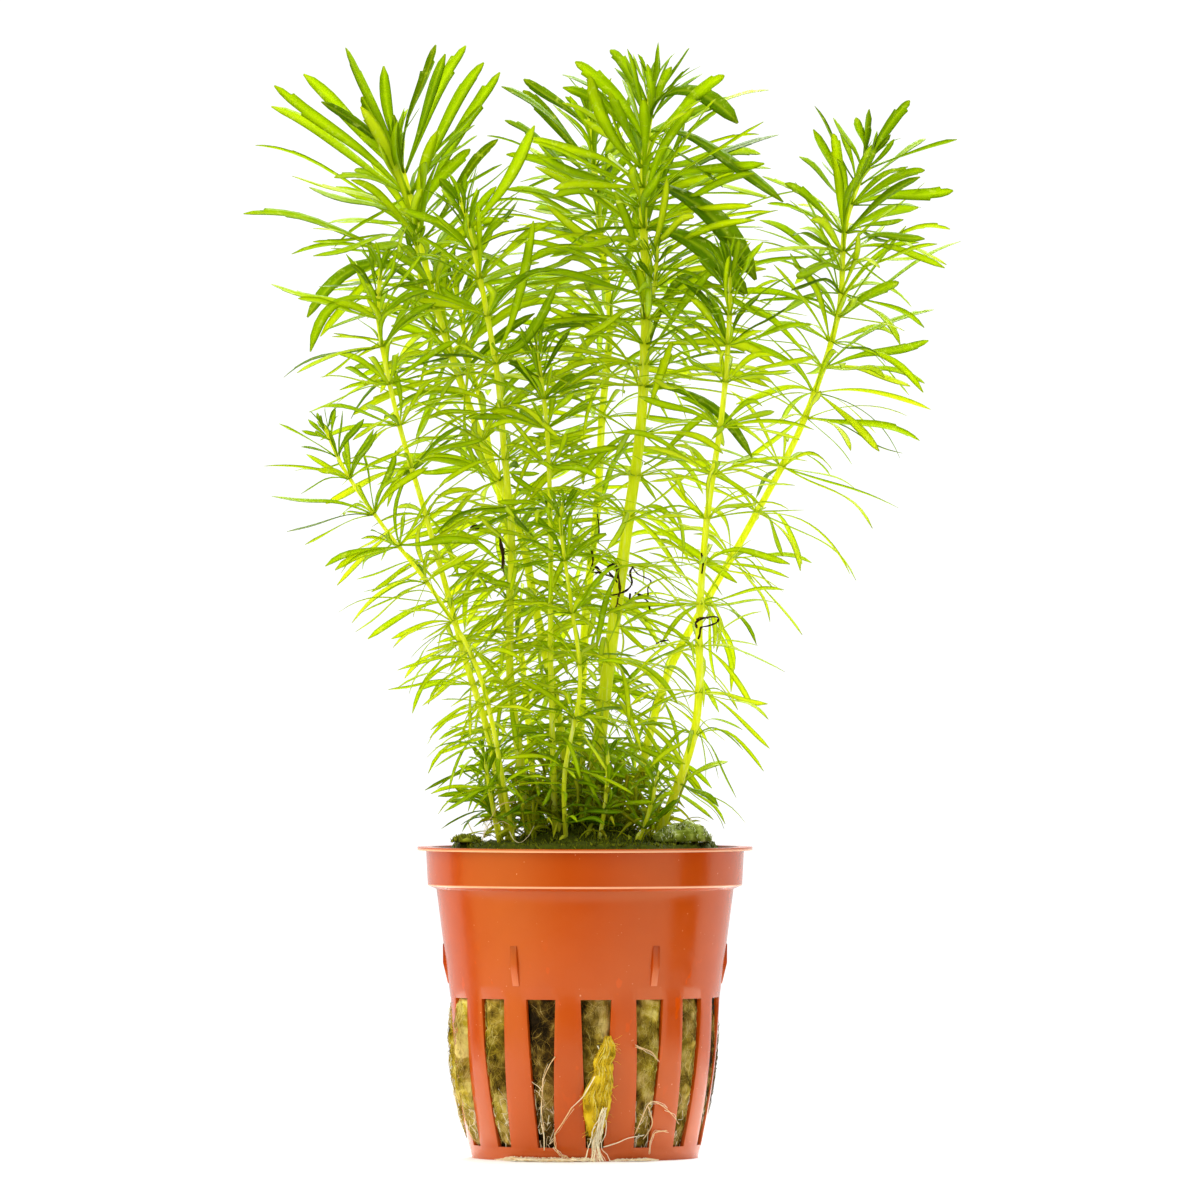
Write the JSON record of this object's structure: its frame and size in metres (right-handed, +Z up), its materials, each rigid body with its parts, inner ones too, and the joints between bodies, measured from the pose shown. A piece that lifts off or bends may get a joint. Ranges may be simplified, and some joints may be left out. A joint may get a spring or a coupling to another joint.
{
  "type": "potted aquarium plant",
  "caption": "Bushy aquatic stem plant with whorls of narrow leaves, rooted in rock wool in a slotted terracotta-coloured net pot that stands on a flat base.",
  "frame": {"origin": "centre of the pot's base, on the floor plane", "axes": "+Z up along the pot's axis, -Y towards the front seen in the picture, +X to the right of the front"},
  "size_m": [0.1184, 0.0665, 0.1831],
  "materials": {
    "pot": "satin moulded plastic, terracotta orange",
    "wool": "wet fibrous mineral wool, olive brown",
    "yellow_wool": "torn fibrous wool, yellow",
    "moss": "damp matted moss, dark green",
    "pale_moss": "dry moss, pale grey green",
    "shoot": "fresh leaf and stem tissue, yellow green",
    "root": "fine cream root fibre",
    "dried": "dried leaf remnant, dark brown"
  },
  "bodies": {
    "root": {"dried_centre": "dried", "dried_left": "dried", "dried_right": "dried", "moss_clump_left": "moss", "moss_clump_right": "pale_moss", "moss_crust": "moss", "net_pot": "pot", "root_curled": "root", "root_fringe": "root", "root_left_strand": "root", "root_mat": "root", "root_rib_loop": "root", "root_right_arc": "root", "root_right_loop": "root", "root_tuft": "root", "root_upper_strand": "root", "shoot_back": "shoot", "shoot_back_left": "shoot", "shoot_base_back": "shoot", "shoot_base_back_left": "shoot", "shoot_base_front": "shoot", "shoot_base_front_left": "shoot", "shoot_base_front_right": "shoot", "shoot_centre": "shoot", "shoot_far_right": "shoot", "shoot_front": "shoot", "shoot_inner_left": "shoot", "shoot_left": "shoot", "shoot_low_left": "shoot", "shoot_middle": "shoot", "shoot_right": "shoot", "shoot_side_centre": "shoot", "shoot_side_upper_left": "shoot", "shoot_tall_left": "shoot", "wool_plug": "wool", "wool_tuft": "yellow_wool"}
  },
  "joints": []
}
